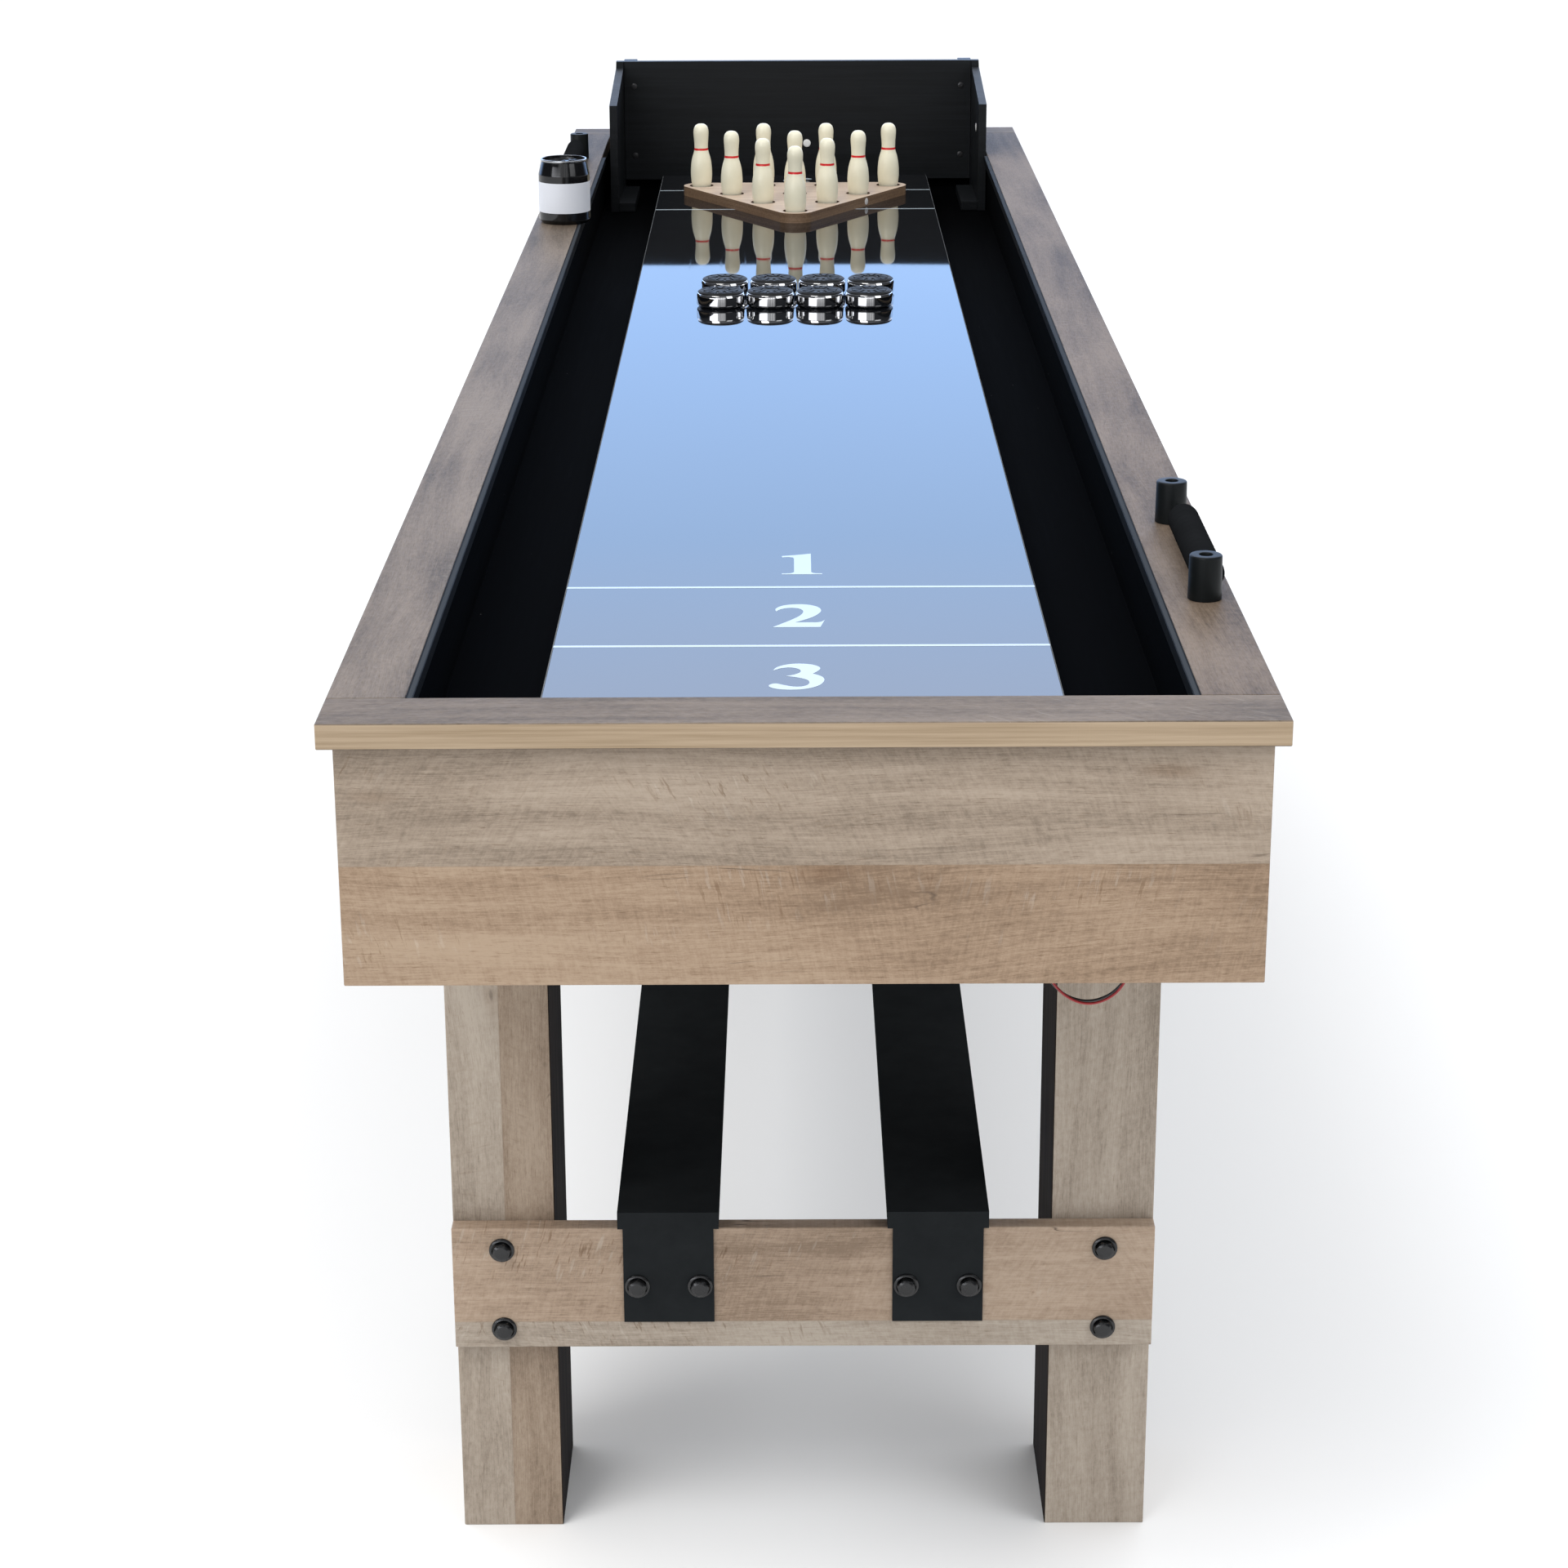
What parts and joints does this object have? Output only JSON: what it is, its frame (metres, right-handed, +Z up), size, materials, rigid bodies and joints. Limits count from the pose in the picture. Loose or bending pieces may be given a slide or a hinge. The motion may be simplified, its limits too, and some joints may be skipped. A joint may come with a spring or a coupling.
{
  "type": "shuffleboard table",
  "caption": "Long home shuffleboard table on trestle legs, with gutters, steel pucks, rail scorers and a lift-off bowling backboard with pins on a triangular rack.",
  "frame": {"origin": "centre of the footprint, on the floor", "axes": "+Z up, +Y along the table towards the bowling end, +X across the table"},
  "size_m": [0.61, 2.743, 0.887],
  "materials": {
    "woodgrain_laminate": "grey-brown driftwood print, satin",
    "black_board": "black laminated board, fine satin",
    "gloss_playfield": "deep black mirror gloss with white lines and numbers",
    "raw_board": "unfinished board",
    "light_channel": "satin anodised",
    "light_tape": "white circuit tape",
    "light_diffuser": "blue-grey translucent strip",
    "black_plastic": "moulded, fine satin",
    "red_wire": "thin insulated wire",
    "black_wire": "thin insulated wire",
    "black_steel": "powder coated, satin",
    "black_bolts": "black zinc",
    "bright_rod": "polished",
    "screw_steel": "dark zinc",
    "rack_wood": "pale beech board, clear matt",
    "pin_ivory": "ivory with one thin red ring",
    "puck_steel": "polished steel weight, dark textured cap",
    "can_black": "glossy black tin, plain white label band"
  },
  "bodies": {
    "table": {"side_rail_left": "woodgrain_laminate", "side_apron_left": "woodgrain_laminate", "stretcher_left": "black_steel", "side_rail_right": "woodgrain_laminate", "side_apron_right": "woodgrain_laminate", "stretcher_right": "black_steel", "end_rail_front": "woodgrain_laminate", "end_apron_front": "woodgrain_laminate", "crossbar_front": "woodgrain_laminate", "leg_front_left": "woodgrain_laminate", "leg_front_right": "woodgrain_laminate", "end_rail_rear": "woodgrain_laminate", "end_apron_rear": "woodgrain_laminate", "crossbar_rear": "woodgrain_laminate", "leg_rear_left": "woodgrain_laminate", "leg_rear_right": "woodgrain_laminate", "gutter_walls": "black_board", "gutter_deck": "black_board", "playfield_board": "gloss_playfield", "playfield_battens": "raw_board", "cross_beams": "raw_board", "led_channels": "light_channel", "led_tapes": "light_tape", "led_diffusers": "light_diffuser", "battery_case": "black_plastic", "battery_case_lid": "black_plastic", "led_lead_red": "red_wire", "led_lead_black": "black_wire", "leg_blocks": "raw_board", "frame_bolts": "black_bolts", "scorer_posts": "black_plastic", "scorer_rods": "bright_rod", "scorer_screws": "screw_steel"},
    "beads_left": {"score_beads_left": "black_plastic"},
    "beads_right": {"score_beads_right": "black_plastic"},
    "backboard": {"backboard_panel": "black_board", "backboard_cheek_left": "black_board", "backboard_cheek_right": "black_board", "backboard_screws": "screw_steel"},
    "rack": {"pin_rack": "rack_wood"},
    "can": {"wax_can": "can_black"},
    "switch": {"rocker_switch": "black_plastic"},
    "pin_01": {"pin_01": "pin_ivory"},
    "pin_02": {"pin_02": "pin_ivory"},
    "pin_03": {"pin_03": "pin_ivory"},
    "pin_04": {"pin_04": "pin_ivory"},
    "pin_05": {"pin_05": "pin_ivory"},
    "pin_06": {"pin_06": "pin_ivory"},
    "pin_07": {"pin_07": "pin_ivory"},
    "pin_08": {"pin_08": "pin_ivory"},
    "pin_09": {"pin_09": "pin_ivory"},
    "pin_10": {"pin_10": "pin_ivory"},
    "puck_1": {"puck_1": "puck_steel"},
    "puck_2": {"puck_2": "puck_steel"},
    "puck_3": {"puck_3": "puck_steel"},
    "puck_4": {"puck_4": "puck_steel"},
    "puck_5": {"puck_5": "puck_steel"},
    "puck_6": {"puck_6": "puck_steel"},
    "puck_7": {"puck_7": "puck_steel"},
    "puck_8": {"puck_8": "puck_steel"}
  },
  "joints": [
    {"name": "beads_left_slide", "type": "slide", "parent": "table", "child": "beads_left", "axis": [0, -1, 0], "range_m": [0, 0.033]},
    {"name": "beads_right_slide", "type": "slide", "parent": "table", "child": "beads_right", "axis": [0, 1, 0], "range_m": [0, 0.033]},
    {"name": "backboard_lift", "type": "slide", "parent": "table", "child": "backboard", "axis": [0, 0, 1], "range_m": [0, 0.25]},
    {"name": "rack_lift", "type": "slide", "parent": "table", "child": "rack", "axis": [0, 0, 1], "range_m": [0, 0.12]},
    {"name": "can_lift", "type": "slide", "parent": "table", "child": "can", "axis": [0, 0, 1], "range_m": [0, 0.15]},
    {"name": "switch_rock", "type": "hinge", "parent": "table", "child": "switch", "pos_m": [0.066, -1.3185, 0.678], "axis": [1, 0, 0], "range_deg": [0, 16]},
    {"name": "pin_01_lift", "type": "slide", "parent": "rack", "child": "pin_01", "axis": [0, 0, 1], "range_m": [0, 0.1]},
    {"name": "pin_02_lift", "type": "slide", "parent": "rack", "child": "pin_02", "axis": [0, 0, 1], "range_m": [0, 0.1]},
    {"name": "pin_03_lift", "type": "slide", "parent": "rack", "child": "pin_03", "axis": [0, 0, 1], "range_m": [0, 0.1]},
    {"name": "pin_04_lift", "type": "slide", "parent": "rack", "child": "pin_04", "axis": [0, 0, 1], "range_m": [0, 0.1]},
    {"name": "pin_05_lift", "type": "slide", "parent": "rack", "child": "pin_05", "axis": [0, 0, 1], "range_m": [0, 0.1]},
    {"name": "pin_06_lift", "type": "slide", "parent": "rack", "child": "pin_06", "axis": [0, 0, 1], "range_m": [0, 0.1]},
    {"name": "pin_07_lift", "type": "slide", "parent": "rack", "child": "pin_07", "axis": [0, 0, 1], "range_m": [0, 0.1]},
    {"name": "pin_08_lift", "type": "slide", "parent": "rack", "child": "pin_08", "axis": [0, 0, 1], "range_m": [0, 0.1]},
    {"name": "pin_09_lift", "type": "slide", "parent": "rack", "child": "pin_09", "axis": [0, 0, 1], "range_m": [0, 0.1]},
    {"name": "pin_10_lift", "type": "slide", "parent": "rack", "child": "pin_10", "axis": [0, 0, 1], "range_m": [0, 0.1]},
    {"name": "puck_1_slide", "type": "slide", "parent": "table", "child": "puck_1", "axis": [0, -1, 0], "range_m": [0, 1.35]},
    {"name": "puck_2_slide", "type": "slide", "parent": "table", "child": "puck_2", "axis": [0, -1, 0], "range_m": [0, 1.35]},
    {"name": "puck_3_slide", "type": "slide", "parent": "table", "child": "puck_3", "axis": [0, -1, 0], "range_m": [0, 1.35]},
    {"name": "puck_4_slide", "type": "slide", "parent": "table", "child": "puck_4", "axis": [0, -1, 0], "range_m": [0, 1.35]},
    {"name": "puck_5_slide", "type": "slide", "parent": "table", "child": "puck_5", "axis": [0, 1, 0], "range_m": [0, 0.42]},
    {"name": "puck_6_slide", "type": "slide", "parent": "table", "child": "puck_6", "axis": [0, 1, 0], "range_m": [0, 0.42]},
    {"name": "puck_7_slide", "type": "slide", "parent": "table", "child": "puck_7", "axis": [0, 1, 0], "range_m": [0, 0.42]},
    {"name": "puck_8_slide", "type": "slide", "parent": "table", "child": "puck_8", "axis": [0, 1, 0], "range_m": [0, 0.42]}
  ]
}
